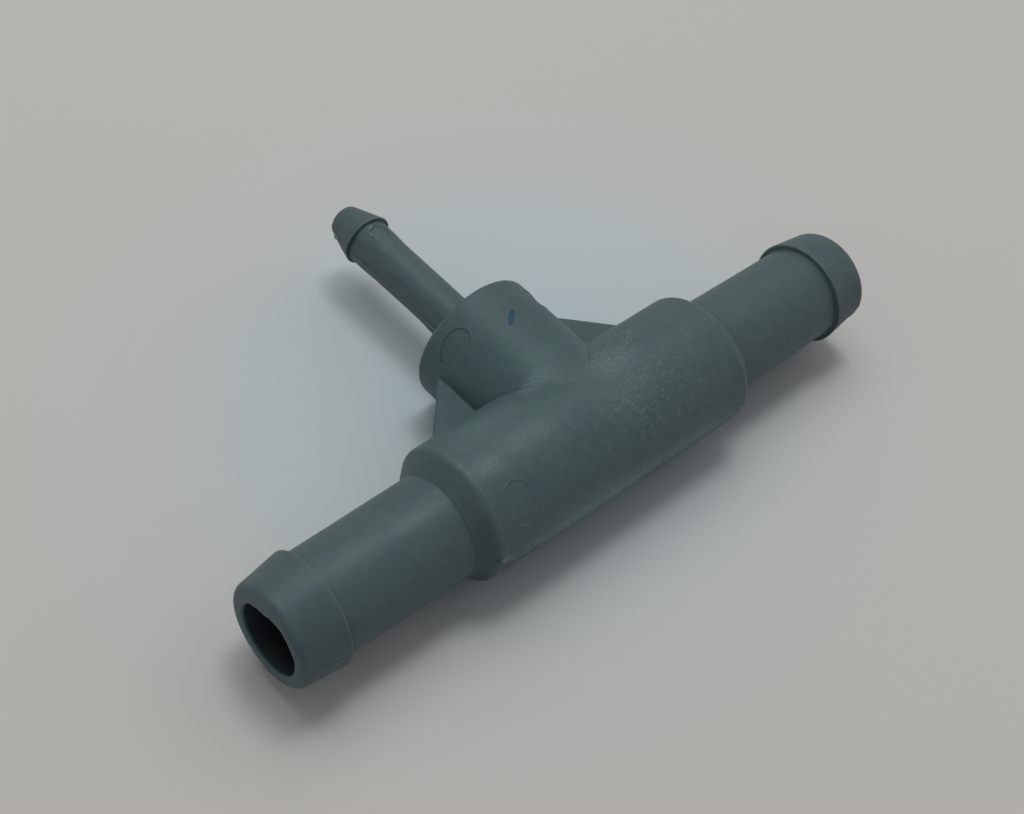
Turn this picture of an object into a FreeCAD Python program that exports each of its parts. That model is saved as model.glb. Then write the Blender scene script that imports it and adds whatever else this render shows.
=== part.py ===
# Reducing tee hose connector, moulded in one piece, in millimetres.
# The run lies along X, the branch points along +Y and the mould parts on the plane Z = 0.
# The origin is where the two axes cross.
import FreeCAD, Part
import os
import Sketcher

NODE = "reducing_tee"

SIZES = [
    # the run: two large hose tails on one sleeve
    ("run_length", 88.6, "tip to tip"),
    ("run_tail_dia", 12.3, "plain length that the hose grips, beside the barb"),
    ("run_tail_root_dia", 12.7, "the same at the shoulder, since the tail tapers"),
    ("run_ridge_dia", 13.7, "crest of the barb"),
    ("run_barb_length", 5.9, "crest to tip"),
    ("run_tip_dia", 12.2, "small end of the barb's cone"),
    ("run_tip_round", 0.8, "outer edge of the tip"),
    ("run_bore_dia", 8.6, "through bore"),
    ("run_mouth_bevel", 0.3, "edge of the bore at each tip"),
    ("sleeve_dia", 17.0, "thick middle of the run"),
    ("sleeve_length", 38.6, "between its two edges"),
    ("sleeve_edge_bevel", 0.4, "sleeve to shoulder"),
    ("shoulder_length", 2.2, "cone that the hose butts against"),
    # the branch: a boss with one small hose tail
    ("boss_dia", 16.8, "boss beside the sleeve"),
    ("boss_reach", 18.8, "run axis to the boss's end face"),
    ("boss_edge_round", 0.6, "end face to side"),
    ("branch_reach", 43.05, "run axis to the small tip"),
    ("branch_tail_dia", 5.6, "plain length that the hose grips"),
    ("branch_ridge_dia", 6.95, "crest of the small barb"),
    ("branch_barb_length", 4.9, "crest to tip"),
    ("branch_tip_dia", 3.8, "small end of the barb's cone"),
    ("branch_tip_bevel", 0.4, "outer edge of the small tip"),
    ("branch_root_round", 0.8, "tail to boss"),
    ("branch_bore_dia", 2.2, "small tip to run bore"),
    # the crests of all three barbs
    ("crest_bevel", 0.25, "edge of each crest"),
    # webs in the two corners between sleeve and boss
    ("web_leg", 6.6, "along the sleeve, and as far along the boss"),
    ("web_root", 2.0, "depth of the web's corner inside both walls"),
    ("web_thickness", 3.0, "across the parting plane"),
    # shallow marks that the ejector pins leave on the upper half, seen from above as circles
    ("mark_depth", 0.15, "recess of every mark"),
    ("sleeve_mark_dia", 3.5, "pin under the sleeve"),
    ("sleeve_mark_offset", 15.6, "branch axis to this mark, along the run"),
    ("sleeve_mark_aside", 5.75, "run axis to this mark"),
    ("boss_mark_dia", 3.1, "pins under the boss, one on each side"),
    ("boss_mark_offset", 15.3, "run axis to these marks, along the branch"),
    ("boss_mark_aside", 6.25, "branch axis to these marks"),
    ("tail_mark_dia", 2.2, "pin under the small tail"),
    ("tail_mark_setback", 1.8, "barb's crest to the mark's middle"),
]

doc = FreeCAD.newDocument(NODE)
sheet = doc.addObject("Spreadsheet::Sheet", "sizes")
for row, (alias, value, meaning) in enumerate(SIZES, start=1):
    sheet.set(f"A{row}", alias)
    sheet.set(f"B{row}", str(value))
    sheet.set(f"C{row}", meaning)
    sheet.setAlias(f"B{row}", alias)
doc.recompute()

body = doc.addObject("PartDesign::Body", "tee_body")


def size(expression):
    """The number that an expression in the sheet's names stands for."""
    return float(body.evalExpression(expression))


def origin_item(role):
    """One of the body's own origin planes or axes."""
    return next(item for item in body.Origin.OriginFeatures if item.Role == role)


# Sketches

def new_sketch(name, plane):
    sketch = body.newObject("Sketcher::SketchObject", name)
    sketch.AttachmentSupport = [(origin_item(plane), "")]
    sketch.MapMode = "FlatFace"
    return sketch


def drive(sketch, constraint, expression):
    """Adds a dimension whose value comes from the sheet."""
    index = sketch.addConstraint(constraint)
    sketch.setExpression(f"Constraints[{index}]", expression)


def outline(name, plane, corners):
    """A closed polygon. Each corner is a pair of expressions, where "0" puts it on that axis."""
    sketch = new_sketch(name, plane)
    spots = [FreeCAD.Vector(size(across), size(up), 0) for across, up in corners]
    following = spots[1:] + spots[:1]
    for start, end in zip(spots, following):
        sketch.addGeometry(Part.LineSegment(start, end), False)
    for edge in range(len(corners)):
        after = (edge + 1) % len(corners)
        sketch.addConstraint(Sketcher.Constraint("Coincident", edge, 2, after, 1))
    for edge, (across, up) in enumerate(corners):
        for kind, axis, expression in (("DistanceX", -2, across), ("DistanceY", -1, up)):
            if expression == "0":
                sketch.addConstraint(Sketcher.Constraint("PointOnObject", edge, 1, axis))
            else:
                dimension = Sketcher.Constraint(kind, -1, 1, edge, 1, size(expression))
                drive(sketch, dimension, expression)
    return sketch


def round_outline(name, plane, diameter):
    """A circle about the origin."""
    sketch = new_sketch(name, plane)
    centre = FreeCAD.Vector(0, 0, 0)
    upward = FreeCAD.Vector(0, 0, 1)
    sketch.addGeometry(Part.Circle(centre, upward, size(diameter) / 2), False)
    sketch.addConstraint(Sketcher.Constraint("Coincident", 0, 3, -1, 1))
    drive(sketch, Sketcher.Constraint("Diameter", 0, size(diameter)), diameter)
    return sketch


# Features

def revolve(name, sketch, axis):
    turned = body.newObject("PartDesign::Revolution", name)
    turned.Profile = sketch
    turned.ReferenceAxis = (sketch, [axis])
    turned.Angle = 360
    turned.Refine = True
    return turned


def mirror(name, original):
    """The same feature on the other side of the branch axis."""
    copy = body.newObject("PartDesign::Mirrored", name)
    copy.Originals = [original]
    copy.MirrorPlane = (origin_item("YZ_Plane"), [""])
    copy.Refine = True
    body.Tip = copy
    return copy


def dress_rings(kind, name, rings):
    """A fillet or chamfer on circular edges. Each ring is an axis, the distance along it and a diameter."""
    doc.recompute()
    before = body.Tip
    picked = []
    for number, edge in enumerate(before.Shape.Edges, start=1):
        if any(is_ring(edge, *ring) for ring in rings):
            picked.append(f"Edge{number}")
    dressed = body.newObject(kind, name)
    dressed.Base = (before, picked)
    return dressed


def round_rings(name, radius, rings):
    dress_rings("PartDesign::Fillet", name, rings).setExpression("Radius", radius)


def bevel_rings(name, width, rings):
    dress_rings("PartDesign::Chamfer", name, rings).setExpression("Size", width)


def is_ring(edge, axis, along, diameter):
    close = 1e-4
    if not isinstance(edge.Curve, Part.Circle):
        return False
    centre = axis * size(along)
    if abs(edge.Curve.Radius - size(diameter) / 2) > close:
        return False
    return edge.Curve.Center.distanceToPoint(centre) < close


RUN = FreeCAD.Vector(1, 0, 0)
BRANCH = FreeCAD.Vector(0, 1, 0)

RUN_TIP = "sizes.run_length / 2"
RUN_CREST = "sizes.run_length / 2 - sizes.run_barb_length"
SLEEVE_EDGE = "sizes.sleeve_length / 2"
SHOULDER_ROOT = "sizes.sleeve_length / 2 + sizes.shoulder_length"
BRANCH_TIP = "sizes.branch_reach"
BRANCH_CREST = "sizes.branch_reach - sizes.branch_barb_length"


# Half of the run: tip, barb, crest, tail, shoulder and sleeve
run_profile = outline("run_profile", "XZ_Plane", [
    ("0", "0"),
    (RUN_TIP, "0"),
    (RUN_TIP, "sizes.run_tip_dia / 2"),
    (RUN_CREST, "sizes.run_ridge_dia / 2"),
    (RUN_CREST, "sizes.run_tail_dia / 2"),
    (SHOULDER_ROOT, "sizes.run_tail_root_dia / 2"),
    (SLEEVE_EDGE, "sizes.sleeve_dia / 2"),
    ("0", "sizes.sleeve_dia / 2"),
])
half_run = revolve("half_run", run_profile, "H_Axis")
mirror("whole_run", half_run)

# The boss starts inside the sleeve
boss = body.newObject("PartDesign::Pad", "boss")
boss.Profile = round_outline("boss_outline", "XZ_Plane", "sizes.boss_dia")
boss.setExpression("Length", "sizes.boss_reach")
boss.Reversed = True
boss.Refine = True

# The small tail starts inside the boss
branch_profile = outline("branch_profile", "XY_Plane", [
    ("0", "sizes.boss_reach / 2"),
    ("sizes.branch_tail_dia / 2", "sizes.boss_reach / 2"),
    ("sizes.branch_tail_dia / 2", BRANCH_CREST),
    ("sizes.branch_ridge_dia / 2", BRANCH_CREST),
    ("sizes.branch_tip_dia / 2", BRANCH_TIP),
    ("0", BRANCH_TIP),
])
revolve("branch_tail", branch_profile, "V_Axis")

# A flat web in each corner, its sloping edge at 45 degrees and its root inside both walls
WEB_INNER_X = "sizes.boss_dia / 2 - sizes.web_root"
WEB_INNER_Y = "sizes.sleeve_dia / 2 - sizes.web_root"
web = body.newObject("PartDesign::Pad", "web")
web.Profile = outline("web_outline", "XY_Plane", [
    (WEB_INNER_X, WEB_INNER_Y),
    ("sizes.boss_dia / 2 + sizes.web_leg + sizes.web_root", WEB_INNER_Y),
    (WEB_INNER_X, "sizes.sleeve_dia / 2 + sizes.web_leg + sizes.web_root"),
])
web.setExpression("Length", "sizes.web_thickness")
web.SideType = "Symmetric"
web.Refine = True
mirror("webs", web)

# Rounded and bevelled edges of the outside
BOTH_ENDS = (RUN, RUN * -1)
round_rings("run_tip_rounds", "sizes.run_tip_round",
            [(end, RUN_TIP, "sizes.run_tip_dia") for end in BOTH_ENDS])
bevel_rings("sleeve_edge_bevels", "sizes.sleeve_edge_bevel",
            [(end, SLEEVE_EDGE, "sizes.sleeve_dia") for end in BOTH_ENDS])
round_rings("boss_edge_round", "sizes.boss_edge_round",
            [(BRANCH, "sizes.boss_reach", "sizes.boss_dia")])
round_rings("branch_root_round", "sizes.branch_root_round",
            [(BRANCH, "sizes.boss_reach", "sizes.branch_tail_dia")])
bevel_rings("branch_tip_bevel", "sizes.branch_tip_bevel",
            [(BRANCH, BRANCH_TIP, "sizes.branch_tip_dia")])
crests = [(end, RUN_CREST, "sizes.run_ridge_dia") for end in BOTH_ENDS]
crests.append((BRANCH, BRANCH_CREST, "sizes.branch_ridge_dia"))
bevel_rings("crest_bevels", "sizes.crest_bevel", crests)


# The bores meet on the two axes

def bore(name, plane, diameter, side):
    hole = body.newObject("PartDesign::Pocket", name)
    hole.Profile = round_outline(name + "_outline", plane, diameter)
    hole.Type = "ThroughAll"
    hole.SideType = side
    hole.Refine = True


bore("run_bore", "YZ_Plane", "sizes.run_bore_dia", "Symmetric")
bore("branch_bore", "XZ_Plane", "sizes.branch_bore_dia", "One side")
bevel_rings("mouth_bevels", "sizes.run_mouth_bevel",
            [(end, RUN_TIP, "sizes.run_bore_dia") for end in BOTH_ENDS])
doc.recompute()


# Ejector marks: each is the part of an upright pin that lies outside a slightly smaller cylinder

def cylinder(name, radius, height, base, direction):
    solid = doc.addObject("Part::Cylinder", name)
    solid.setExpression("Radius", radius)
    solid.setExpression("Height", height)
    solid.Placement = FreeCAD.Placement(base, FreeCAD.Rotation(UP, direction))
    return solid


def ejector_mark(name, axis, surface_dia, along, aside, mark_dia):
    """A recess in the upper side of a cylinder about one of the part's axes."""
    middle = axis * size(along)
    pin = cylinder(name + "_pin", f"{mark_dia} / 2", surface_dia, middle + axis.cross(UP) * size(aside), UP)
    core = cylinder(name + "_core", f"{surface_dia} / 2 - sizes.mark_depth", f"{mark_dia} * 2",
                    middle - axis * size(mark_dia), axis)
    recess = doc.addObject("Part::Cut", name)
    recess.Base = pin
    recess.Tool = core
    return recess


UP = FreeCAD.Vector(0, 0, 1)
marks = doc.addObject("Part::MultiFuse", "ejector_marks")
marks.Shapes = [
    ejector_mark("sleeve_mark", RUN, "sizes.sleeve_dia",
                 "-sizes.sleeve_mark_offset", "sizes.sleeve_mark_aside", "sizes.sleeve_mark_dia"),
    ejector_mark("left_boss_mark", BRANCH, "sizes.boss_dia",
                 "sizes.boss_mark_offset", "-sizes.boss_mark_aside", "sizes.boss_mark_dia"),
    ejector_mark("right_boss_mark", BRANCH, "sizes.boss_dia",
                 "sizes.boss_mark_offset", "sizes.boss_mark_aside", "sizes.boss_mark_dia"),
    ejector_mark("tail_mark", BRANCH, "sizes.branch_tail_dia",
                 f"{BRANCH_CREST} - sizes.tail_mark_setback", "0", "sizes.tail_mark_dia"),
]

tee = doc.addObject("Part::Cut", "marked_tee")
tee.Label = NODE
tee.Base = body
tee.Tool = marks
doc.recompute()

# Nothing is written unless every step of the model worked
for item in doc.Objects:
    if "Invalid" in item.State or "Error" in item.State:
        raise RuntimeError(f"{item.Label} did not build: {item.State}")
if tee.Shape.isNull() or not tee.Shape.isValid() or len(tee.Shape.Solids) != 1:
    raise RuntimeError(f"{tee.Label} is not one valid solid")

os.makedirs("parts", exist_ok=True)
solid = tee.Shape.Solids[0]
solid.exportStep(f"parts/{tee.Label}.step")
print(f"{tee.Label}: {solid.Volume:.1f} cubic mm, {len(solid.Faces)} faces")
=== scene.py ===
import math

import bmesh
import bpy
import numpy as np
from mathutils import Matrix, Vector


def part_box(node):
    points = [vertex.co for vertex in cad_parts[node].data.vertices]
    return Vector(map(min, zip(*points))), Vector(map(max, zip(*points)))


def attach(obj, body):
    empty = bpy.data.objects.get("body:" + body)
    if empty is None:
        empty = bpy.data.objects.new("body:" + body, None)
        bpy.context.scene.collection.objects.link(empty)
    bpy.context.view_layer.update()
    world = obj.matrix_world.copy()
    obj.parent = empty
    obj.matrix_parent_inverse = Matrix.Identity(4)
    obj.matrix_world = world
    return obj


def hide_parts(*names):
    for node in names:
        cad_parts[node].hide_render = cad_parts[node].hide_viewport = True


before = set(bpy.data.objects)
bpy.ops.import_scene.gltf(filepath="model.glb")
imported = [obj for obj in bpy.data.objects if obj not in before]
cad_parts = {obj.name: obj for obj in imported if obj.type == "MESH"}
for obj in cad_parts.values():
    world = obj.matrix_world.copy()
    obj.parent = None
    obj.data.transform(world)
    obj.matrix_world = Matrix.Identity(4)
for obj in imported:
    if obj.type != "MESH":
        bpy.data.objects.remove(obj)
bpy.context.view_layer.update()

# Sizes in millimetres. The run lies along X, the branch along +Y, and the mould parts on Z = 0.
MM = 0.001
node_low, node_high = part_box("reducing_tee")
RUN_TIP = node_high.x / MM
BRANCH_TIP = node_high.y / MM
SLEEVE_RADIUS = node_high.z / MM
LOWEST = node_low.z / MM
BOX_MARGIN = 0.003

# The run: two equal tails with barbs, and the sleeve between them
RUN_TAIL_RADIUS = 6.15
RUN_TAIL_ROOT_RADIUS = 6.35
RUN_CREST_RADIUS = 6.85
RUN_NOSE_RADIUS = 6.1
RUN_CREST = RUN_TIP - 5.9
RUN_TIP_ROUND = 1.1
NEAR_TIP_ROUND = 0.8
RUN_BORE_RADIUS = 4.3
SLEEVE_HALF = 19.3
SLEEVE_EDGE_ROUND = 0.26
SHOULDER_ROOT = SLEEVE_HALF + 2.2
SHOULDER_ROOT_FILLET = 0.12
CREST_ROUND = 0.22
CREST_FILLET = 0.12
HEAD_OVERLAP = 1
MOUTH_ROUND = 0.3
# Both mouths are a little uneven
MOUTH_WAVE = 0.05
MOUTH_WAVE_LENGTH = 3.4
MOUTH_WAVE_SEED = 21
MOUTH_DEPTH = (1.4, 0.2)
# The near end isn't true: its mouth has a lip, its bore leans off the middle, and its barb droops
MOUTH_LIP = 0.85
LIP_PLACE = (1.2, 4.2)
LIP_SPREAD = 3
LEAN_ALONG = (-20, -44)
BORE_OFFSET = (-0.26, -0.38)
DROOP_ALONG = (-38, -44)
NEAR_TIP_DROOP = (0.1, 0.22)

# The boss and the branch
BOSS_RADIUS = 8.4
BOSS_END = 18.8
BOSS_EDGE_ROUND = 0.6
BRANCH_TAIL_RADIUS = 2.8
BRANCH_CREST_RADIUS = 3.475
BRANCH_NOSE_RADIUS = 1.9
BRANCH_CREST = BRANCH_TIP - 4.9
BRANCH_TIP_ROUND = 0.55
BRANCH_ROOT_FILLET = 0.8
BRANCH_BORE_RADIUS = 1.1
SADDLE_FILLET = 0.25
LEAST_SADDLE = 0.02

# The small tail is a little thicker beside its crest and has a shallow flat on its left
TAIL_SWELL = 0.13
TAIL_SWELL_START = 33.0
TAIL_SWELL_END = 36.5
FLAT_LEAN = math.radians(62)
FLAT_WAY = (-math.sin(FLAT_LEAN), math.cos(FLAT_LEAN))
FLAT_DEPTH = 0.12
FLAT_FADE = (32.0, 29.0)

# The webs: a plate on the parting plane, cut off along a slanting line
WEB_LINE = 23.5
WEB_HALF = 1.5
WEB_INNER = 6.5
WEB_EDGE_ROUND = 0.12
WEB_FILLET = 0.3

# What the mould leaves: its lower half is a little off, and flash stands at the parting plane. Each pair
# is a place along the run or the branch and how far the lower half lies inside the upper there.
STEP_WIDTH = 0.05
FRONT_STEP = ((-44, -0.05), (-39.0, -0.04), (-37.6, -0.02), (-22, 0), (-20, 0.6), (-14, 0.55), (-7, 0.4),
              (-1, 0.26), (20, 0.24), (44, 0.3))
LEFT_STEP = ((0, 0.04), (18.7, 0.04), (19, -0.05), (20, -0.16), (23, -0.16), (25, -0.02), (28.5, -0.03),
             (32, -0.08), (36, -0.1), (38, -0.06), (38.4, 0.08), (40, -0.05), (43, -0.05))
LEFT_STEP_START = (BOSS_RADIUS, BOSS_RADIUS + 2)
FLASH_HEIGHT = 0.05
FLASH_WIDTH = 0.07
# The near tail has hardly any flash, and its barb a fine groove instead
FLASH_SHARE = ((-38.5, -1.0), (-37.8, 0.2), (-24, 0.2), (-22, 1))
# The near barb's step goes further round, and the step ends just before the far tip
NEAR_CONE_SHARE = 0.6
NEAR_CONE_ALONG = (-37.8, -38.8)
FAR_END = (RUN_TIP - 0.3, RUN_TIP - 1.3)
# The flash stands out unevenly, in waves of two lengths, and stops before the tips
FLASH_MEAN = 0.5
FLASH_WAVES = ((0.6, 2.6, 11), (0.3, 0.9, 12))
FLASH_LIMITS = (0.1, 1.3)
FLASH_END_RUN = (RUN_TIP - 0.5, RUN_TIP - 1.2)
FLASH_END_BRANCH = (BRANCH_TIP - 0.4, BRANCH_TIP - 1)
# The sleeve's near edge is filled badly on one side beside the parting plane: between which x, y and z
CORNER_LOSS = 0.3
CORNER_ALONG = (-12.5, -18.5)
CORNER_END = (-21.5, -19.8)
CORNER_SIDE = (-6, -8.2)
CORNER_TOP = (2.6, 0.8)
# Lumps of flash, each a middle and the half lengths of an ellipsoid
LUMPS = (
    ((-2.62, 40.8, -0.05), (0.42, 0.6, 0.3)),
    ((-19.4, -7.9, 0.95), (0.5, 0.2, 0.14)),
    ((-18.5, -8.2, 0.85), (0.6, 0.18, 0.11)),
    ((-1.0, 36.6, 2.78), (0.13, 0.42, 0.12)),
    ((-0.85, 35.72, 2.78), (0.18, 0.16, 0.12)),
    ((-0.25, 37.62, 2.90), (0.34, 0.13, 0.10)),
    ((5.6, 13.9, 6.35), (0.5, 0.5, 0.22)),
)
LUMP_FILLET = 0.06
# The skin is never quite even
WAVE_COUNT = 5
RIPPLE = 0.008
RIPPLE_LENGTH = 7.0
RIPPLE_SEED = 3
# An ejector mark's raised rim, the width of its wall, and the heights between which it sets in
MARK_RIM = 0.035
MARK_WALL = 0.06
MARK_FADE = (0.5, 1.5)
# Each mark as its middle's x and y, its radius seen from above, and its depth
MARKS = (
    (-15.6, -5.75, 1.75, 0.05),
    (-6.24, 15.29, 1.55, 0.11),
    (6.24, 15.29, 1.55, 0.13),
    (0.28, 36.33, 1.1, 0.15),
)


# Forms as signed distances in millimetres, negative inside

def round_max(a, b, radius):
    """What lies in both forms, with the edge between them rounded."""
    corner = np.hypot(np.maximum(a + radius, 0), np.maximum(b + radius, 0))
    return np.minimum(-radius, np.maximum(a, b)) + corner


def round_min(a, b, radius):
    """Both forms together, with a fillet where they meet."""
    return -round_max(-a, -b, radius)


def smooth(low, high, value):
    """From 0 at low to 1 at high, level at both ends."""
    part = np.clip((value - low) / (high - low), 0, 1)
    return part * part * (3 - 2 * part)


def waves(x, y, z, length, seed):
    """An even, repeatable unevenness about that many millimetres long, from about -1 to 1."""
    draw = np.random.default_rng(seed)
    total = 0
    for _ in range(WAVE_COUNT):
        way = draw.normal(size=3)
        way *= 2 * math.pi / length / np.linalg.norm(way)
        total = total + np.sin(way[0] * x + way[1] * y + way[2] * z + draw.uniform(0, 2 * math.pi))
    return total / math.sqrt(WAVE_COUNT)


def slope(along, radial, start, end):
    """The side of a cone whose outline runs from start to end, each a distance along and a radius."""
    run = end[0] - start[0]
    drop = start[1] - end[1]
    return ((along - start[0]) * drop + (radial - start[1]) * run) / math.hypot(run, drop)


def barb(along, radial, crest, tip, tip_round):
    """A cone with a flat back at its crest and a rounded nose."""
    nose = round_max(slope(along, radial, crest, tip), along - tip[0], tip_round)
    return round_max(nose, crest[0] - along, CREST_ROUND)


def run_form(x, y, z):
    """The sleeve, its shoulders, and the two large tails with their barbs."""
    near = smooth(*DROOP_ALONG, x)
    y = y + near * NEAR_TIP_DROOP[0]
    z = z + near * NEAR_TIP_DROOP[1]
    along = np.abs(x)
    radial = np.hypot(y, z)
    shoulder = slope(along, radial, (SLEEVE_HALF, SLEEVE_RADIUS), (SHOULDER_ROOT, RUN_TAIL_ROOT_RADIUS))
    sleeve = round_max(radial - SLEEVE_RADIUS, shoulder, SLEEVE_EDGE_ROUND)
    tail = slope(along, radial, (SHOULDER_ROOT, RUN_TAIL_ROOT_RADIUS), (RUN_CREST, RUN_TAIL_RADIUS))
    tail = np.maximum(tail, along - RUN_CREST - HEAD_OVERLAP)
    tip_round = np.where(x < 0, NEAR_TIP_ROUND, RUN_TIP_ROUND)
    head = barb(along, radial, (RUN_CREST, RUN_CREST_RADIUS), (RUN_TIP, RUN_NOSE_RADIUS), tip_round)
    return round_min(round_min(sleeve, tail, SHOULDER_ROOT_FILLET), head, CREST_FILLET)


def boss_form(x, y, z):
    """The round boss that carries the branch."""
    side = np.hypot(x, z) - BOSS_RADIUS
    return np.maximum(round_max(side, y - BOSS_END, BOSS_EDGE_ROUND), -y)


def branch_form(x, y, z):
    """The small tail and its barb."""
    radial = np.hypot(x, z)
    swell = TAIL_SWELL * smooth(TAIL_SWELL_START, TAIL_SWELL_END, y)
    tail = np.maximum(radial - BRANCH_TAIL_RADIUS - swell, y - BRANCH_CREST - HEAD_OVERLAP)
    flat = x * FLAT_WAY[0] + z * FLAT_WAY[1] - BRANCH_TAIL_RADIUS + FLAT_DEPTH * smooth(*FLAT_FADE, y)
    tail = np.maximum(tail, flat)
    crest = (BRANCH_CREST, BRANCH_CREST_RADIUS)
    head = barb(y, radial, crest, (BRANCH_TIP, BRANCH_NOSE_RADIUS), BRANCH_TIP_ROUND)
    return np.maximum(round_min(tail, head, CREST_FILLET), BOSS_END / 2 - y)


def web_form(x, y, z):
    """The flat webs in both corners."""
    edge = (np.abs(x) + y - WEB_LINE) / math.sqrt(2)
    plate = round_max(edge, np.abs(z) - WEB_HALF, WEB_EDGE_ROUND)
    return np.maximum(plate, np.maximum(WEB_INNER - np.abs(x), WEB_INNER - y))


def saddle_fillet(x, y, z):
    """The fillet between sleeve and boss, which runs out where their tops are level."""
    agreement = z * z / (np.hypot(y, z) * np.hypot(x, z) + 1e-9)
    return SADDLE_FILLET * np.clip(1 - agreement, LEAST_SADDLE, 1)


def outside_form(x, y, z):
    """The outside as it was drawn, without what the mould leaves."""
    body = round_min(run_form(x, y, z), boss_form(x, y, z), saddle_fillet(x, y, z))
    body = round_min(body, branch_form(x, y, z), BRANCH_ROOT_FILLET)
    return round_min(body, web_form(x, y, z), WEB_FILLET)


def seam(x, y, z):
    """How far the mould's lower half and the flash at the parting plane move the surface inward."""
    lower = smooth(STEP_WIDTH, -STEP_WIDTH, z)
    near_cone = NEAR_CONE_SHARE * smooth(*NEAR_CONE_ALONG, x)
    facing = np.maximum(np.clip(-y / (np.hypot(y, z) + 0.001), 0, 1), near_cone)
    front = facing * np.interp(x, *zip(*FRONT_STEP)) * smooth(1, 0, y) * smooth(*FAR_END, x)
    left = np.clip(-x / (np.hypot(x, z) + 0.001), 0, 1) * np.interp(y, *zip(*LEFT_STEP))
    step = lower * (front + left * smooth(*LEFT_STEP_START, y))
    uneven = FLASH_MEAN
    for height, length, seed in FLASH_WAVES:
        uneven = uneven + height * waves(x, y, 0 * z, length, seed)
    uneven = np.clip(uneven, *FLASH_LIMITS)
    away_from_tips = smooth(*FLASH_END_RUN, np.abs(x)) * smooth(*FLASH_END_BRANCH, y)
    flash = FLASH_HEIGHT * uneven * np.interp(x, *zip(*FLASH_SHARE)) * np.exp(-(z / FLASH_WIDTH) ** 2)
    return step - flash * away_from_tips


def soft_corner(x, y, z):
    """The sleeve's near edge, filled badly on the camera's side beside the parting plane."""
    along = smooth(*CORNER_ALONG, x) * smooth(*CORNER_END, x)
    return CORNER_LOSS * along * smooth(*CORNER_SIDE, y) * smooth(*CORNER_TOP, z)


def lump(x, y, z, centre, radii):
    """A small ellipsoid."""
    away = [(a - b) / c for a, b, c in zip((x, y, z), centre, radii)]
    return (np.sqrt(sum(a * a for a in away)) - 1) * min(radii)


def flash_lumps(x, y, z, body):
    """The few places where flash stands out as a lump or a torn edge."""
    for centre, radii in LUMPS:
        body = round_min(body, lump(x, y, z, centre, radii), LUMP_FILLET)
    return body


def mark(x, y, z, centre_x, centre_y, radius, depth):
    """An upright ejector pin's mark on the upper half: a sunk disc with a thin raised rim."""
    away = np.hypot(x - centre_x, y - centre_y) - radius
    disc = smooth(MARK_WALL, -MARK_WALL, away)
    rim = np.exp(-(away / MARK_WALL - 2) ** 2)
    return smooth(*MARK_FADE, z) * (depth * disc - MARK_RIM * rim)


def run_bore(x, y, z):
    """The run's bore, a little uneven at its mouths, and off the middle with a lip at the near one."""
    near = smooth(*LEAN_ALONG, x)
    lip = MOUTH_LIP * near * np.exp(-((y - LIP_PLACE[0]) ** 2 + (z - LIP_PLACE[1]) ** 2) / LIP_SPREAD)
    uneven = MOUTH_WAVE * waves(0 * x, y, z, MOUTH_WAVE_LENGTH, MOUTH_WAVE_SEED) + lip
    at_mouth = smooth(RUN_TIP - MOUTH_DEPTH[0], RUN_TIP - MOUTH_DEPTH[1], np.abs(x))
    radial = np.hypot(y - near * BORE_OFFSET[0], z - near * BORE_OFFSET[1])
    return radial - RUN_BORE_RADIUS + uneven * at_mouth


def bore_form(x, y, z):
    """Both bores together."""
    branch = np.maximum(np.hypot(x, z) - BRANCH_BORE_RADIUS, -y)
    return np.minimum(run_bore(x, y, z), branch)


def box_form(x, y, z):
    """The box of the CAD model, which nothing passes."""
    return np.maximum(np.maximum(np.abs(x) - RUN_TIP, y - BRANCH_TIP),
                      np.maximum(np.maximum(-SLEEVE_RADIUS - y, z - SLEEVE_RADIUS), LOWEST - z)) + BOX_MARGIN


def bare_form(x, y, z):
    """The outside without the ejector marks."""
    outside = outside_form(x, y, z) + seam(x, y, z) + soft_corner(x, y, z)
    outside = flash_lumps(x, y, z, outside + RIPPLE * waves(x, y, z, RIPPLE_LENGTH, RIPPLE_SEED))
    return np.maximum(outside, box_form(x, y, z))


def tee_form(x, y, z):
    """The whole moulding."""
    outside = bare_form(x, y, z)
    for place in MARKS:
        outside = outside + mark(x, y, z, *place)
    return round_max(outside, -bore_form(x, y, z), MOUTH_ROUND)


# A mesh on the zero level of a form. Each fine spot is a place, its reach, and the spacing there.
COARSE = 0.52
GROWTH = 0.42
MARGIN = 1
FINE_SPOTS_X = (
    (RUN_TIP, 1.3, 0.14),
    (RUN_CREST, 0.3, 0.07),
    (SLEEVE_HALF, 0.45, 0.12),
    (SHOULDER_ROOT, 0.3, 0.12),
)
FINE_SPOTS_Y = (
    (BOSS_END, 0.6, 0.12),
    (BRANCH_CREST, 0.3, 0.07),
    (BRANCH_TIP, 0.5, 0.12),
)
FINE_SPOTS_Z = (
    (0, 0.12, 0.04),
    (-WEB_HALF, 0.15, 0.1),
    (WEB_HALF, 0.15, 0.1),
)
# The marks and the crease between sleeve and boss are split again, down to the fine edge
FINE_EDGE = 0.1
CREASE_REACH = 0.3
CREASE_MIDDLE = 1
MARKS_LOWEST = 1
MARK_BAND = 4
BORE_CLEAR = 0.5
SPLIT_ROUNDS = 2
SPLIT_SETTLE = 3
SETTLE_STEP = 0.2
LEAST_STEEPNESS = 0.05
NORMAL_STEP = 0.004


def grid_lines(low, high, fine_spots):
    """Places from low to high, coarse apart, and closer round each fine spot."""
    lines = [low]
    while lines[-1] < high:
        here = lines[-1]
        step = COARSE
        for place, reach, spacing in fine_spots:
            beyond = max(abs(here - place) - reach, 0)
            step = min(step, spacing + GROWTH * beyond)
        lines.append(here + step)
    return np.array(lines)


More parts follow.
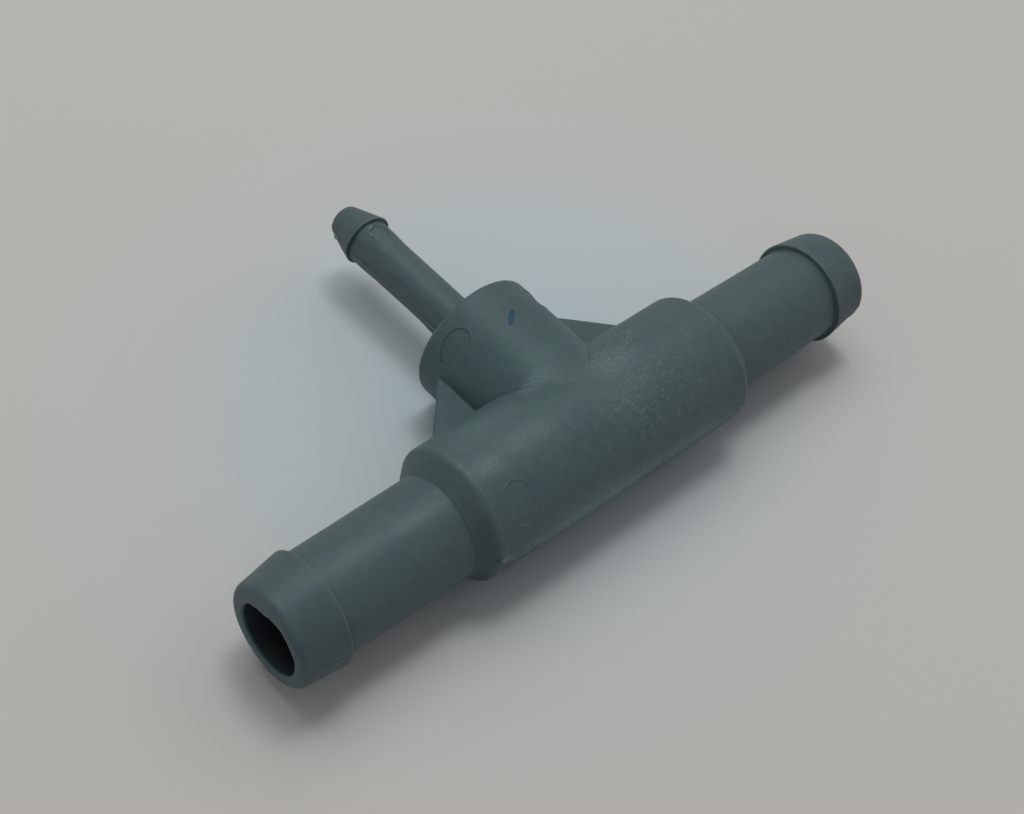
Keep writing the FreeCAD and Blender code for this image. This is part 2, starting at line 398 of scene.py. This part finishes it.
def net(form, xs, ys, zs):
    """Vertices and quads where the form changes sign, one vertex in each cell that it crosses."""
    values = form(xs[:, None, None], ys[None, :, None], zs[None, None, :])
    inside = values < 0
    corners = [(i, j, k) for i in (0, 1) for j in (0, 1) for k in (0, 1)]
    spans = [slice(0, -1), slice(1, None)]
    count = sum(inside[spans[i], spans[j], spans[k]].astype(np.int8) for i, j, k in corners)
    crossed = (count > 0) & (count < 8)
    cell = np.argwhere(crossed)
    number = np.full(crossed.shape, -1, np.int32)
    number[crossed] = np.arange(len(cell))

    total = np.zeros((len(cell), 3))
    hits = np.zeros(len(cell))
    for axis in range(3):
        for corner in corners:
            if corner[axis]:
                continue
            start = cell + corner
            end = start.copy()
            end[:, axis] += 1
            a = values[tuple(start.T)]
            b = values[tuple(end.T)]
            crosses = (a < 0) != (b < 0)
            part = np.where(crosses, a / np.where(crosses, a - b, 1), 0)[:, None]
            first = np.stack([xs[start[:, 0]], ys[start[:, 1]], zs[start[:, 2]]], 1)
            last = np.stack([xs[end[:, 0]], ys[end[:, 1]], zs[end[:, 2]]], 1)
            total += (first + (last - first) * part) * crosses[:, None]
            hits += crosses
    points = total / hits[:, None]

    quads = []
    for axis in range(3):
        b_axis = (axis + 1) % 3
        c_axis = (axis + 2) % 3
        low = [slice(1, -1)] * 3
        high = [slice(1, -1)] * 3
        low[axis] = slice(0, -1)
        high[axis] = slice(1, None)
        first = inside[tuple(low)]
        edge = np.argwhere(first != inside[tuple(high)])
        outward = first[tuple(edge.T)]
        edge[:, b_axis] += 1
        edge[:, c_axis] += 1
        around = []
        for b_step, c_step in ((-1, -1), (0, -1), (0, 0), (-1, 0)):
            at = edge.copy()
            at[:, b_axis] += b_step
            at[:, c_axis] += c_step
            around.append(number[tuple(at.T)])
        quad = np.stack(around, 1)
        quad[~outward] = quad[~outward][:, ::-1]
        quads.append(quad)
    return points, np.concatenate(quads)


def gradient(form, points, step=0.01):
    """Which way and how steeply the form grows at each point."""
    x, y, z = points.T
    return np.stack([
        form(x + step, y, z) - form(x - step, y, z),
        form(x, y + step, z) - form(x, y - step, z),
        form(x, y, z + step) - form(x, y, z - step),
    ], 1) / (2 * step)


def settle(form, points, rounds=5):
    """Moves points along the form's gradient until they lie on its surface."""
    for _ in range(rounds):
        slope_here = gradient(form, points)
        steepness = np.maximum((slope_here ** 2).sum(1), LEAST_STEEPNESS)
        move = form(*points.T) / steepness
        points = points - np.clip(move, -SETTLE_STEP, SETTLE_STEP)[:, None] * slope_here
    return points


def refine(mesh, form, wanted, rounds):
    """Splits the edges whose middles a test picks, and settles the new vertices."""
    for _ in range(rounds):
        split = [e for e in mesh.edges if wanted((e.verts[0].co + e.verts[1].co) / 2, e.calc_length())]
        bmesh.ops.subdivide_edges(mesh, edges=split, cuts=1, use_grid_fill=True)
        wide = [face for face in mesh.faces if len(face.verts) > 4]
        bmesh.ops.triangulate(mesh, faces=wide)
        points = settle(form, np.array([v.co for v in mesh.verts]), SPLIT_SETTLE)
        for vertex, point in zip(mesh.verts, points):
            vertex.co = point


def wants_detail(middle, length):
    """Edges longer than the fine edge, near the wall of a mark or the crease between sleeve and boss."""
    if length < FINE_EDGE:
        return False
    on_sleeve = abs(math.hypot(middle.y, middle.z) - SLEEVE_RADIUS) < CREASE_REACH
    on_boss = abs(math.hypot(middle.x, middle.z) - BOSS_RADIUS) < CREASE_REACH
    if on_sleeve and on_boss and middle.y > 0 and middle.z > 0:
        return length > 2 * FINE_EDGE or abs(middle.x) > CREASE_MIDDLE
    if middle.z < MARKS_LOWEST or math.hypot(middle.y, middle.z) < RUN_BORE_RADIUS + BORE_CLEAR:
        return False
    for centre_x, centre_y, radius, _ in MARKS:
        away = math.hypot(middle.x - centre_x, middle.y - centre_y)
        if abs(away - radius - MARK_WALL) < MARK_BAND * MARK_WALL + length / 2:
            return True
    return False


# Edges: outer edges are paler, partly wear and partly painted highlight, and corners get painted shade. The
# crease's painted shade fades with height, later on one side, and within a round patch of the top.
BEND_REACH = 0.12
CREASE_FADE = (7.0, 7.9)
CREASE_LATER = 0.5
CREASE_ROUND = (5, 3.5)
# The mouths' rims count as worn edges, paler partly from wear and partly as painted highlight: how far
# outside the bore they lie, and how near the tips
RIM_MIDDLE = 0.18
RIM_HALF = 0.14
RIM_DEPTH = 0.35
RIM_WEAR = 0.75
BORE_SKIN = 0.15


def bend(form, points, reach=BEND_REACH):
    """Positive on outer edges and negative in corners, about 1 on an edge a quarter millimetre round."""
    x, y, z = points.T
    around = (form(x + reach, y, z) + form(x - reach, y, z) + form(x, y + reach, z)
              + form(x, y - reach, z) + form(x, y, z + reach) + form(x, y, z - reach))
    return np.clip((around - 6 * form(x, y, z)) / reach ** 2 / 4, -1, 1)


def edge_wear_and_shade(points):
    """The bend of the outside, without the top of the crease, and with the mouths' rims as worn: paler edges
    above 0 are partly wear and partly painted highlight, and corners below 0 get painted shade.
    """
    x, y, z = points.T
    wear_and_shade = bend(bare_form, points)
    on_top = smooth(*CREASE_FADE, z - CREASE_LATER * smooth(-1, 1, x)) * smooth(*CREASE_ROUND, np.hypot(x, y))
    wear_and_shade = wear_and_shade * (1 - on_top)
    at_rim = (np.abs(run_bore(x, y, z) - RIM_MIDDLE) < RIM_HALF) & (np.abs(x) > RUN_TIP - RIM_DEPTH)
    return np.where(at_rim, RIM_WEAR, wear_and_shade)


def bore_depth(points):
    """How far inside a mouth each point of a bore's wall lies, and 0 on the outside."""
    x, y, z = points.T
    in_run = run_bore(x, y, z) < BORE_SKIN
    in_branch = (np.hypot(x, z) < BRANCH_BORE_RADIUS + BORE_SKIN) & (y > 0)
    return np.where(in_run, RUN_TIP - np.abs(x), np.where(in_branch, BRANCH_TIP - y, 0))


def make_tee():
    """The moulding as one mesh, with its edge wear and painted shade, and the depth of its bores."""
    both_ends = [(side * place, reach, spacing) for place, reach, spacing in FINE_SPOTS_X for side in (-1, 1)]
    xs = grid_lines(-RUN_TIP - MARGIN, RUN_TIP + MARGIN, both_ends)
    ys = grid_lines(-SLEEVE_RADIUS - MARGIN, BRANCH_TIP + MARGIN, FINE_SPOTS_Y)
    zs = grid_lines(-SLEEVE_RADIUS - MARGIN, SLEEVE_RADIUS + MARGIN, FINE_SPOTS_Z)
    points, quads = net(tee_form, xs, ys, zs)
    points = settle(tee_form, points)

    mesh = bpy.data.meshes.new("tee_moulding")
    mesh.from_pydata(points.tolist(), [], quads.tolist())
    work = bmesh.new()
    work.from_mesh(mesh)
    refine(work, tee_form, wants_detail, SPLIT_ROUNDS)
    work.to_mesh(mesh)
    work.free()

    points = np.array([v.co for v in mesh.vertices])
    normals = gradient(tee_form, points, NORMAL_STEP)
    normals /= np.linalg.norm(normals, axis=1)[:, None]
    # Edge wear and painted shade, from the bend of the outside
    wear_and_shade = mesh.attributes.new("edge_wear_and_shade", "FLOAT", "POINT")
    wear_and_shade.data.foreach_set("value", edge_wear_and_shade(points).astype(np.float32))
    depth = mesh.attributes.new("bore_depth", "FLOAT", "POINT")
    depth.data.foreach_set("value", bore_depth(points).astype(np.float32))
    mesh.transform(Matrix.Scale(MM, 4))
    mesh.polygons.foreach_set("use_smooth", np.ones(len(mesh.polygons), bool))
    mesh.normals_split_custom_set_from_vertices(normals)
    tee = bpy.data.objects.new("tee_moulding", mesh)
    bpy.context.scene.collection.objects.link(tee)
    triangles = sum(len(face.vertices) - 2 for face in mesh.polygons)
    print("tee_moulding:", len(xs), len(ys), len(zs), "lines,", triangles, "triangles")
    return tee


# Materials

# A fibre's edge and its least strength, and how much of a tinted patch is even
FIBRE_EDGE = (0.34, 0.12)
FAINTEST_FIBRE = 0.35
TINT_CORE = 0.5


class Paint:
    """Adds nodes to a material or world."""

    def __init__(self, owner):
        owner.use_nodes = True
        self.tree = owner.node_tree
        self.tree.nodes.clear()

    def put(self, socket, value):
        """Links a socket to another one, or gives it a value."""
        if isinstance(value, bpy.types.NodeSocket):
            self.tree.links.new(value, socket)
        else:
            socket.default_value = value

    def node(self, kind, inputs=None, **settings):
        """A new node with its inputs and settings."""
        made = self.tree.nodes.new("ShaderNode" + kind)
        for name, value in settings.items():
            setattr(made, name, value)
        for name, value in (inputs or {}).items():
            self.put(made.inputs[name], value)
        return made

    def maths(self, operation, *values, clamp=False):
        made = self.node("Math", operation=operation, use_clamp=clamp)
        for socket, value in zip(made.inputs, values):
            self.put(socket, value)
        return made.outputs[0]

    def vectors(self, operation, *values):
        made = self.node("VectorMath", operation=operation)
        for socket, value in zip(made.inputs, values):
            self.put(socket, value)
        return made.outputs["Value" if operation in ("LENGTH", "DISTANCE", "DOT_PRODUCT") else "Vector"]

    def ramp(self, value, low, high, to_low=0.0, to_high=1.0):
        """A smooth step between two values."""
        made = self.node("MapRange", {"Value": value, "From Min": low, "From Max": high,
                                      "To Min": to_low, "To Max": to_high})
        made.interpolation_type = "SMOOTHSTEP"
        return made.outputs["Result"]

    def mix(self, part, first, second):
        """The first colour with a part of the second."""
        made = self.node("Mix", data_type="RGBA")
        for socket, value in zip((made.inputs[0], made.inputs[6], made.inputs[7]), (part, first, second)):
            self.put(socket, value)
        return made.outputs[2]

    def noise(self, place, scale, detail=2.0, roughness=0.5):
        return self.node("TexNoise", {"Vector": place, "Scale": scale, "Detail": detail,
                                      "Roughness": roughness}).outputs[0]

    def patch(self, place, centre, radii, core):
        """From 1 in the middle of an ellipsoid to 0 at its edge."""
        away = self.vectors("LENGTH", self.vectors("DIVIDE", self.vectors("SUBTRACT", place, centre), radii))
        return self.ramp(away, 1.0, core)

    def millimetres(self):
        """Places on the object in millimetres."""
        place = self.vectors("SCALE", self.node("TexCoord").outputs["Object"])
        place.node.inputs["Scale"].default_value = 1 / MM
        return place

    def cover(self, place, patches, core):
        """How much the strongest of the patches covers each place."""
        most = None
        for centre, radii, strength in patches:
            spot = self.maths("MULTIPLY", self.patch(place, centre, radii, core), strength)
            most = self.maths("MAXIMUM", most, spot) if most else spot
        return most

    def tint(self, place, colour, patches, over):
        """Mixes another colour over each of the patches, as much as its strength says."""
        for centre, radii, strength in patches:
            spot = self.maths("MULTIPLY", self.patch(place, centre, radii, TINT_CORE), strength)
            colour = self.mix(spot, colour, over)
        return colour

    def fibres(self, place, turn, offset, length, width, kept):
        """Short fibres lying one way, from 0 to 1. Kept is the share of them that shows."""
        laid = self.node("Mapping", {"Vector": place, "Location": offset, "Rotation": turn,
                                     "Scale": (length, width, width)}, vector_type="TEXTURE").outputs[0]
        cell = self.node("TexVoronoi", {"Vector": laid, "Scale": 1.0, "Randomness": 1.0})
        shape = self.ramp(cell.outputs["Distance"], *FIBRE_EDGE)
        chance = self.node("SeparateColor", {"Color": cell.outputs["Color"]}).outputs
        shows = self.maths("LESS_THAN", chance[0], kept)
        strength = self.ramp(chance[1], 0.0, 1.0, FAINTEST_FIBRE, 1.0)
        return self.maths("MULTIPLY", self.maths("MULTIPLY", shape, shows), strength)


PLASTIC = (0.058, 0.083, 0.0845, 1)
PLASTIC_COOL = (0.0465, 0.083, 0.0865, 1)
PLASTIC_BLUE = (0.050, 0.074, 0.088, 1)
# Pale mottling, and the paler outer edges that are partly wear and partly painted highlight
PLASTIC_PALE_AND_HIGHLIGHT = (0.104, 0.148, 0.154, 1)
# Frost colour, partly the skin's own frosting and partly painted highlight and painted light from below
FROSTED_HIGHLIGHT = (0.121, 0.171, 0.177, 1)
FIBRE = (0.21, 0.27, 0.265, 1)
INK = (0.004, 0.060, 0.135, 1)
INK_RIM = (0.003, 0.026, 0.052, 1)
# Dark specks, and the painted shade in corners
SPECK_AND_SHADE = (0.02, 0.03, 0.03, 1)
# Painted shade inside the bores
PAINTED_BORE_SHADE = (0.0105, 0.0088, 0.0125, 1)
# Painted shade colour
PAINTED_SHADE_BLUE = (0.018, 0.026, 0.042, 1)
SHEEN_TINT = (0.86, 1.0, 0.99, 1)
ROUGHNESS = 0.45
GRAIN_ROUGHNESS = 0.12
FROST_ROUGHNESS = 0.10
INDEX = 1.5
SHEEN = 0.30
BUMP_SHARE = 0.35
BUMP_HEIGHT = 0.03
FINE_HEIGHT = 0.4
FIBRE_HEIGHT = 0.5

# Noises: how fine, how many levels, and how rough
CLOUD_NOISE = (0.16, 3.0)
DRIFT_NOISE = (0.35, 2.0, 0.5)
MOTTLE_NOISE = (1.1, 3.0, 0.6)
CRUMB_NOISE = (1.9, 3.0, 0.75)
GRAIN_NOISE = (3.2, 4.0, 0.65)
FINE_NOISE = (9.0, 2.0, 0.6)

# Ramps of those noises and other values: from, to, and what they become
DRIFT_RAMP = (0.45, 0.7, 0.0, 0.6)
MOTTLE_RAMP = (0.35, 0.68, 0.0, 0.14)
FROST_RAMP = (0.40, 0.68)
CRUMB_RAMP = (0.50, 0.66, 0.0, 0.5)
# The edge ramp paints paler outer edges, partly wear and partly painted highlight; the corner ramp paints
# shade into corners
EDGE_RAMP = (0.25, 0.8)
EDGE_SHARE = 0.35
CORNER_RAMP = (-0.15, -0.8)
CORNER_SHARE = 0.36
# The mouth and depth ramps paint shade into the bores
MOUTH_RAMP = (0.05, 0.6, 0.0, 0.66)
DEPTH_RAMP = (0.3, 3.0, 0.0, 0.8)

# How far the cool patch and the slow cloud shift the colour, and how grain breaks up the frost
COOL_SHARE = (0.9, -0.25)
CLOUD_SHARE = 0.5
FROST_GRAIN = (0.75, 0.25)

# Places, as the middle and half lengths of an ellipsoid and how much of it is even
COOL_PATCH = ((-3.0, 8.0, 3.0), (26.0, 20.0, 14.0), 0.2)
CRUMB_PATCH = ((-3.0, -8.4, 0.0), (17.0, 3.0, 3.0), 0.8)
CRUMB_HEIGHT = 0.5
CRUMB_BAND = (1.4, 0.4)

# Fibres lie in layers: each a turn, an offset, a length and a width
FIBRE_LAYERS = (
    ((0, 0.05, 0.28), (0.3, 0.1, 0.2), 2.3, 0.20),
    ((0.1, -0.1, 0.10), (3.1, 1.7, 0.9), 2.0, 0.19),
    ((-0.1, 0.12, 0.45), (7.3, 4.2, 2.8), 1.7, 0.18),
    ((0.3, 0.2, 0.62), (1.3, 9.2, 5.8), 1.2, 0.18),
)
# How many fibres show and how strongly: what dense places add, and what holds everywhere
FIBRES_KEPT = (0.42, 0.05)
FIBRES_VISIBLE = (0.38, 0.04)
SPECKS = ((0, 0, 0.9), (5.0, 2.0, 1.0), 1.1, 0.6)
SPECKS_KEPT = 0.006
SPECKS_SHARE = 0.6

# The ink spot, long in the direction of its turn, with an edge that the fine noise frays
INK_PLACE = (-0.17, 13.03, 8.39)
INK_TURN = math.atan2(1.77, 1.9)
INK_SIZE = (1.3, 0.32, 1.5)
INK_FRAY = (0.5, -0.25)
INK_RIM_RAMP = (1.1, 0.85)
INK_RIM_SHARE = 0.92
INK_RAMP = (0.75, 0.4)
INK_SHARE = 0.85

# How much of each patch is even before it fades
FROST_CORE = 0.1
FIBROUS_CORE = 0.35
# Where the skin is frosted with painted highlight and light, has painted shade, or shows its fibres: middle
# and half lengths of an ellipsoid, and how much
# Frost is partly the skin's own frosting and partly painted highlight on the tops; the low patches along the
# front of the sleeve and far tail paint light thrown up from the floor
FROST_AND_LIGHT = (
    ((-16.5, -1.2, 8.2), (3.5, 2.0, 2.0), 0.8),
    ((-13.0, 3.4, 7.8), (8.0, 4.6, 3.0), 0.4),
    ((-10.5, -0.8, 8.4), (7.0, 2.4, 2.0), 0.6),
    ((-26.0, -1.0, 6.2), (6.0, 1.3, 1.5), 0.6),
    ((-34.0, -0.6, 6.2), (5.0, 0.8, 1.2), 0.3),
    ((-4.0, 4.8, 7.4), (3.6, 1.7, 2.4), 1.0),
    ((4.4, 1.4, 8.3), (5.2, 3.4, 2.8), 0.8),
    ((3.0, -3.0, 8.0), (6.0, 4.0, 3.0), 0.35),
    ((-5.0, -8.4, -0.6), (17.0, 3.8, 5.2), 1.0),
    ((11.0, -8.4, -0.6), (10.0, 3.6, 4.6), 0.8),
    ((35.0, -6.5, -1.0), (12.0, 2.5, 2.5), 0.3),
)
# Painted shade: darker, bluer patches in the webs' corners, on the boss's top, on the near shoulder and on
# both barbs
SHADE = (
    ((-10.6, 10.6, 0.6), (6.5, 6.5, 1.5), 0.27),
    ((10.6, 10.6, 0.6), (6.5, 6.5, 1.5), 0.18),
    ((0.0, 12.0, 7.5), (7.0, 5.0, 4.0), 0.10),
    ((-20.4, -4.0, -2.0), (1.2, 12.0, 11.0), 0.3),
    ((-41.5, -3.0, 0.0), (5.0, 9.0, 9.0), 0.12),
    ((41.5, -5.5, -1.0), (5.0, 7.0, 7.0), 0.3),
)
# Where a bit of flash was torn the plastic has gone pale
STRESS = (
    ((-18.8, -8.15, 1.0), (0.9, 0.4, 0.4), 0.55),
    ((-1.0, 36.6, 2.85), (0.22, 0.6, 0.3), 0.55),
    ((-0.85, 35.72, 2.85), (0.3, 0.28, 0.3), 0.55),
    ((-0.25, 37.62, 2.95), (0.5, 0.22, 0.3), 0.55),
    ((-2.95, 40.8, 0.0), (0.3, 0.7, 0.3), 0.55),
)
FIBROUS = (
    ((6.0, -4.0, 6.0), (14.0, 8.0, 6.0), 1.0),
    ((7.0, 3.5, 7.8), (6.0, 5.0, 4.0), 1.0),
    ((-4.0, -8.3, 0.6), (15.0, 3.0, 3.0), 1.0),
    ((-10.0, -2.0, 8.0), (9.0, 4.0, 3.0), 0.4),
    ((-4.5, 5.5, 7.0), (4.5, 3.0, 3.0), 0.4),
)


def base_colour(paint, place):
    """The plastic's own colour: cooler round the junction, with slow drifts and a faint mottling."""
    cool = paint.maths("MULTIPLY_ADD", paint.patch(place, *COOL_PATCH), *COOL_SHARE)
    cool = paint.maths("MULTIPLY_ADD", paint.noise(place, *CLOUD_NOISE), CLOUD_SHARE, cool, clamp=True)
    colour = paint.mix(cool, PLASTIC, PLASTIC_COOL)
    colour = paint.mix(paint.ramp(paint.noise(place, *DRIFT_NOISE), *DRIFT_RAMP), colour, PLASTIC_BLUE)
    return paint.mix(paint.ramp(paint.noise(place, *MOTTLE_NOISE), *MOTTLE_RAMP), colour, PLASTIC_PALE_AND_HIGHLIGHT)


def crumbs(paint, place):
    """Pale crumbs along the parting plane under the sleeve."""
    height = paint.node("SeparateXYZ", {"Vector": place}).outputs["Z"]
    away = paint.maths("ABSOLUTE", paint.maths("SUBTRACT", height, CRUMB_HEIGHT))
    there = paint.maths("MULTIPLY", paint.ramp(away, *CRUMB_BAND), paint.patch(place, *CRUMB_PATCH))
    return paint.maths("MULTIPLY", there, paint.ramp(paint.noise(place, *CRUMB_NOISE), *CRUMB_RAMP))


def surface_fibres(paint, place, dense):
    """The glass fibres in the skin, in layers that lie different ways."""
    kept = paint.maths("MULTIPLY_ADD", dense, *FIBRES_KEPT)
    most = None
    for layer in FIBRE_LAYERS:
        fibre = paint.fibres(place, *layer, kept)
        most = paint.maths("MAXIMUM", most, fibre) if most else fibre
    return most


def wear_and_shade_colour(paint, place, colour):
    """Paler on outer edges, partly wear and partly painted highlight, painted shade in corners, and a few
    dark specks.
    """
    wear_and_shade = paint.node("Attribute", attribute_name="edge_wear_and_shade").outputs["Fac"]
    # Paler outer edges: partly wear, partly painted highlight
    edge = paint.maths("MULTIPLY", paint.ramp(wear_and_shade, *EDGE_RAMP), EDGE_SHARE)
    colour = paint.mix(edge, colour, PLASTIC_PALE_AND_HIGHLIGHT)
    # Painted shade in corners and creases
    corner = paint.maths("MULTIPLY", paint.ramp(wear_and_shade, *CORNER_RAMP), CORNER_SHARE)
    colour = paint.mix(corner, colour, SPECK_AND_SHADE)
    specks = paint.fibres(place, *SPECKS, SPECKS_KEPT)
    return paint.mix(paint.maths("MULTIPLY", specks, SPECKS_SHARE), colour, SPECK_AND_SHADE)


def ink_spot(paint, place, fine, colour):
    """The pen's oval spot on the boss, with a darker rim."""
    laid = paint.node("Mapping", {"Vector": place, "Location": INK_PLACE, "Rotation": (0, 0, INK_TURN),
                                  "Scale": INK_SIZE}, vector_type="TEXTURE").outputs[0]
    away = paint.vectors("LENGTH", laid)
    away = paint.maths("ADD", away, paint.maths("MULTIPLY_ADD", fine, *INK_FRAY))
    rim = paint.maths("MULTIPLY", paint.ramp(away, *INK_RIM_RAMP), INK_RIM_SHARE)
    spot = paint.maths("MULTIPLY", paint.ramp(away, *INK_RAMP), INK_SHARE)
    return paint.mix(spot, paint.mix(rim, colour, INK_RIM), INK)


def bore_shade_colour(paint, colour):
    """Painted shade, darker from the mouths inward."""
    depth = paint.node("Attribute", attribute_name="bore_depth").outputs["Fac"]
    colour = paint.mix(paint.ramp(depth, *MOUTH_RAMP), colour, PAINTED_BORE_SHADE)
    return paint.mix(paint.ramp(depth, *DEPTH_RAMP), colour, PAINTED_BORE_SHADE)


def plastic():
    """Satin grey-green moulding with fine pale fibres, a little frost and lighter edges that are partly
    painted highlight, and painted shade on patches, in corners and in the bores.
    """
    material = bpy.data.materials.new("grey_green_plastic")
    paint = Paint(material)
    place = paint.millimetres()
    grain = paint.noise(place, *GRAIN_NOISE)
    fine = paint.noise(place, *FINE_NOISE)

    # Frost: partly real frosting, partly painted highlight and painted light from below
    frost_grain = paint.maths("MULTIPLY_ADD", paint.ramp(grain, *FROST_RAMP), *FROST_GRAIN)
    frost_and_light = paint.maths("MULTIPLY", paint.cover(place, FROST_AND_LIGHT, FROST_CORE), frost_grain)
    colour = paint.mix(frost_and_light, base_colour(paint, place), FROSTED_HIGHLIGHT)
    # Painted shade over the SHADE patches
    colour = paint.tint(place, colour, SHADE, PAINTED_SHADE_BLUE)
    colour = paint.tint(place, colour, STRESS, FIBRE)
    colour = paint.mix(crumbs(paint, place), colour, FIBRE)

    dense = paint.cover(place, FIBROUS, FIBROUS_CORE)
    fibre = surface_fibres(paint, place, dense)
    visible = paint.maths("MULTIPLY_ADD", dense, *FIBRES_VISIBLE)
    colour = paint.mix(paint.maths("MULTIPLY", fibre, visible), colour, FIBRE)
    colour = wear_and_shade_colour(paint, place, colour)
    colour = ink_spot(paint, place, fine, colour)
    colour = bore_shade_colour(paint, colour)

    rough = paint.maths("MULTIPLY_ADD", grain, GRAIN_ROUGHNESS, ROUGHNESS)
    rough = paint.maths("MULTIPLY_ADD", frost_and_light, FROST_ROUGHNESS, rough)
    height = paint.maths("MULTIPLY_ADD", fine, FINE_HEIGHT, grain)
    height = paint.maths("MULTIPLY_ADD", fibre, FIBRE_HEIGHT, height)
    bump = paint.node("Bump", {"Strength": BUMP_SHARE, "Distance": BUMP_HEIGHT * MM, "Height": height})
    shader = paint.node("BsdfPrincipled", {"Base Color": colour, "Roughness": rough, "IOR": INDEX,
                                           "Specular IOR Level": SHEEN, "Specular Tint": SHEEN_TINT,
                                           "Normal": bump.outputs[0]})
    out = paint.node("OutputMaterial")
    paint.put(out.inputs["Surface"], shader.outputs[0])
    return material


def seen_ray(paint):
    """1 where the camera looks, straight or by way of a reflection or a clear body, and 0 for light."""
    path = paint.node("LightPath").outputs
    clear = paint.maths("MAXIMUM", path["Is Glossy Ray"], path["Is Transmission Ray"])
    return paint.maths("MAXIMUM", path["Is Camera Ray"], clear)


FLOOR_WARM = (0.506, 0.470, 0.452, 1)
FLOOR_COOL = (0.434, 0.492, 0.516, 1)
FLOOR_BOUNCE = (0.76, 0.78, 0.78, 1)
# The board is cooler round the part than further off
FLOOR_PATCH = ((4.0, 16.0, 0.0), (66.0, 56.0, 50.0), 0.1)
FLOOR_ROUGHNESS = 0.9
FLOOR_SHEEN = 0.1


def floor_material():
    """Plain matt board, which throws more light back onto the part than the camera sees of it."""
    material = bpy.data.materials.new("pale_floor")
    paint = Paint(material)
    place = paint.millimetres()
    colour = paint.mix(paint.patch(place, *FLOOR_PATCH), FLOOR_WARM, FLOOR_COOL)
    colour = paint.mix(seen_ray(paint), FLOOR_BOUNCE, colour)
    shader = paint.node("BsdfPrincipled", {"Base Color": colour, "Roughness": FLOOR_ROUGHNESS,
                                           "Specular IOR Level": FLOOR_SHEEN})
    out = paint.node("OutputMaterial")
    paint.put(out.inputs["Surface"], shader.outputs[0])
    return material


# The stage, lights and camera

# Half the board's side, in metres
FLOOR_HALF = 3.0


def make_floor():
    """A wide board under the part."""
    mesh = bpy.data.meshes.new("floor")
    work = bmesh.new()
    bmesh.ops.create_grid(work, x_segments=2, y_segments=2, size=FLOOR_HALF)
    work.to_mesh(mesh)
    work.free()
    floor = bpy.data.objects.new("floor", mesh)
    floor.location.z = node_low.z
    floor.data.materials.append(floor_material())
    bpy.context.scene.collection.objects.link(floor)


# The room's light comes in low from four sides, most of it from the far end: way, strength and colour
ROOM_SIDES = (
    ((0.94, 0, 0.34), 0.92, (0.95, 0.98, 1.0, 1)),
    ((-0.94, 0, 0.34), 0.49, (0.93, 0.98, 1.0, 1)),
    ((0, 0.94, 0.34), 0.20, (0.95, 0.98, 1.0, 1)),
    ((0, -0.94, 0.34), 0.06, (0.95, 0.97, 1.05, 1)),
)
SIDE_EDGE = 0.2
BACKDROP = (0.45, 0.46, 0.45, 1)


def make_world():
    """Light from four sides, and the plain backdrop that the camera sees."""
    world = bpy.data.worlds.new("studio")
    paint = Paint(world)
    way = paint.node("TexCoord").outputs["Generated"]
    light = None
    for side, strength, colour in ROOM_SIDES:
        towards = paint.vectors("DOT_PRODUCT", way, side)
        power = paint.ramp(towards, SIDE_EDGE, 1.0, 0.0, strength)
        glow = paint.node("Background", {"Color": colour, "Strength": power})
        light = paint.node("AddShader", {0: light.outputs[0], 1: glow.outputs[0]}) if light else glow
    seen = paint.node("Background", {"Color": BACKDROP, "Strength": 1.0})
    shown = paint.node("MixShader", {0: seen_ray(paint), 1: light.outputs[0], 2: seen.outputs[0]})
    out = paint.node("OutputWorld")
    paint.put(out.inputs["Surface"], shown.outputs[0])
    bpy.context.scene.world = world


# Lamps: name, place in metres, size, power and colour
LAMPS = (
    ("key", (0.13, 0.10, 0.72), 0.2, 1.0, (0.94, 0.99, 0.97)),
    ("behind", (0.05, 0.25, 0.70), 0.5, 2.12, (0.94, 0.995, 0.98)),
)


def make_lamp(name, place, size, power, colour):
    """A square area lamp that faces the part."""
    data = bpy.data.lights.new(name, "AREA")
    data.size = size
    data.energy = power
    data.color = colour
    lamp = bpy.data.objects.new(name, data)
    lamp.location = place
    lamp.rotation_euler = (-Vector(place)).to_track_quat("-Z", "Y").to_euler()
    bpy.context.scene.collection.objects.link(lamp)


# The camera stands where the photograph was taken from. Angles in degrees, all else in millimetres.
CAMERA_AZIMUTH = -51.1869
CAMERA_ELEVATION = 49.2337
CAMERA_ROLL = 11.6554
CAMERA_PLACE = (-102.2247, -71.7919, 147.0492)
CAMERA_LENS = 59.340
SENSOR_WIDTH = 36
CLIP_START = 5


def make_camera():
    """The photograph's camera."""
    data = bpy.data.cameras.new("camera")
    data.lens = CAMERA_LENS
    data.sensor_width = SENSOR_WIDTH
    data.clip_start = CLIP_START * MM
    azimuth, elevation, roll = (math.radians(a) for a in (CAMERA_AZIMUTH, CAMERA_ELEVATION, CAMERA_ROLL))
    back = Vector((math.sin(azimuth) * math.cos(elevation), -math.cos(azimuth) * math.cos(elevation),
                   math.sin(elevation)))
    level_right = (-back).cross(Vector((0, 0, 1))).normalized()
    level_up = level_right.cross(-back)
    right = math.cos(roll) * level_right + math.sin(roll) * level_up
    up = math.cos(roll) * level_up - math.sin(roll) * level_right
    turn = Matrix((right, up, back)).transposed().to_4x4()
    camera = bpy.data.objects.new("camera", data)
    camera.matrix_world = Matrix.Translation(Vector(CAMERA_PLACE) * MM) @ turn
    bpy.context.scene.collection.objects.link(camera)
    bpy.context.scene.camera = camera


tee = make_tee()
tee.data.materials.append(plastic())
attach(tee, "root")
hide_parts("reducing_tee")

make_floor()
make_world()
for lamp in LAMPS:
    make_lamp(*lamp)
make_camera()
bpy.context.scene.view_settings.view_transform = "Standard"
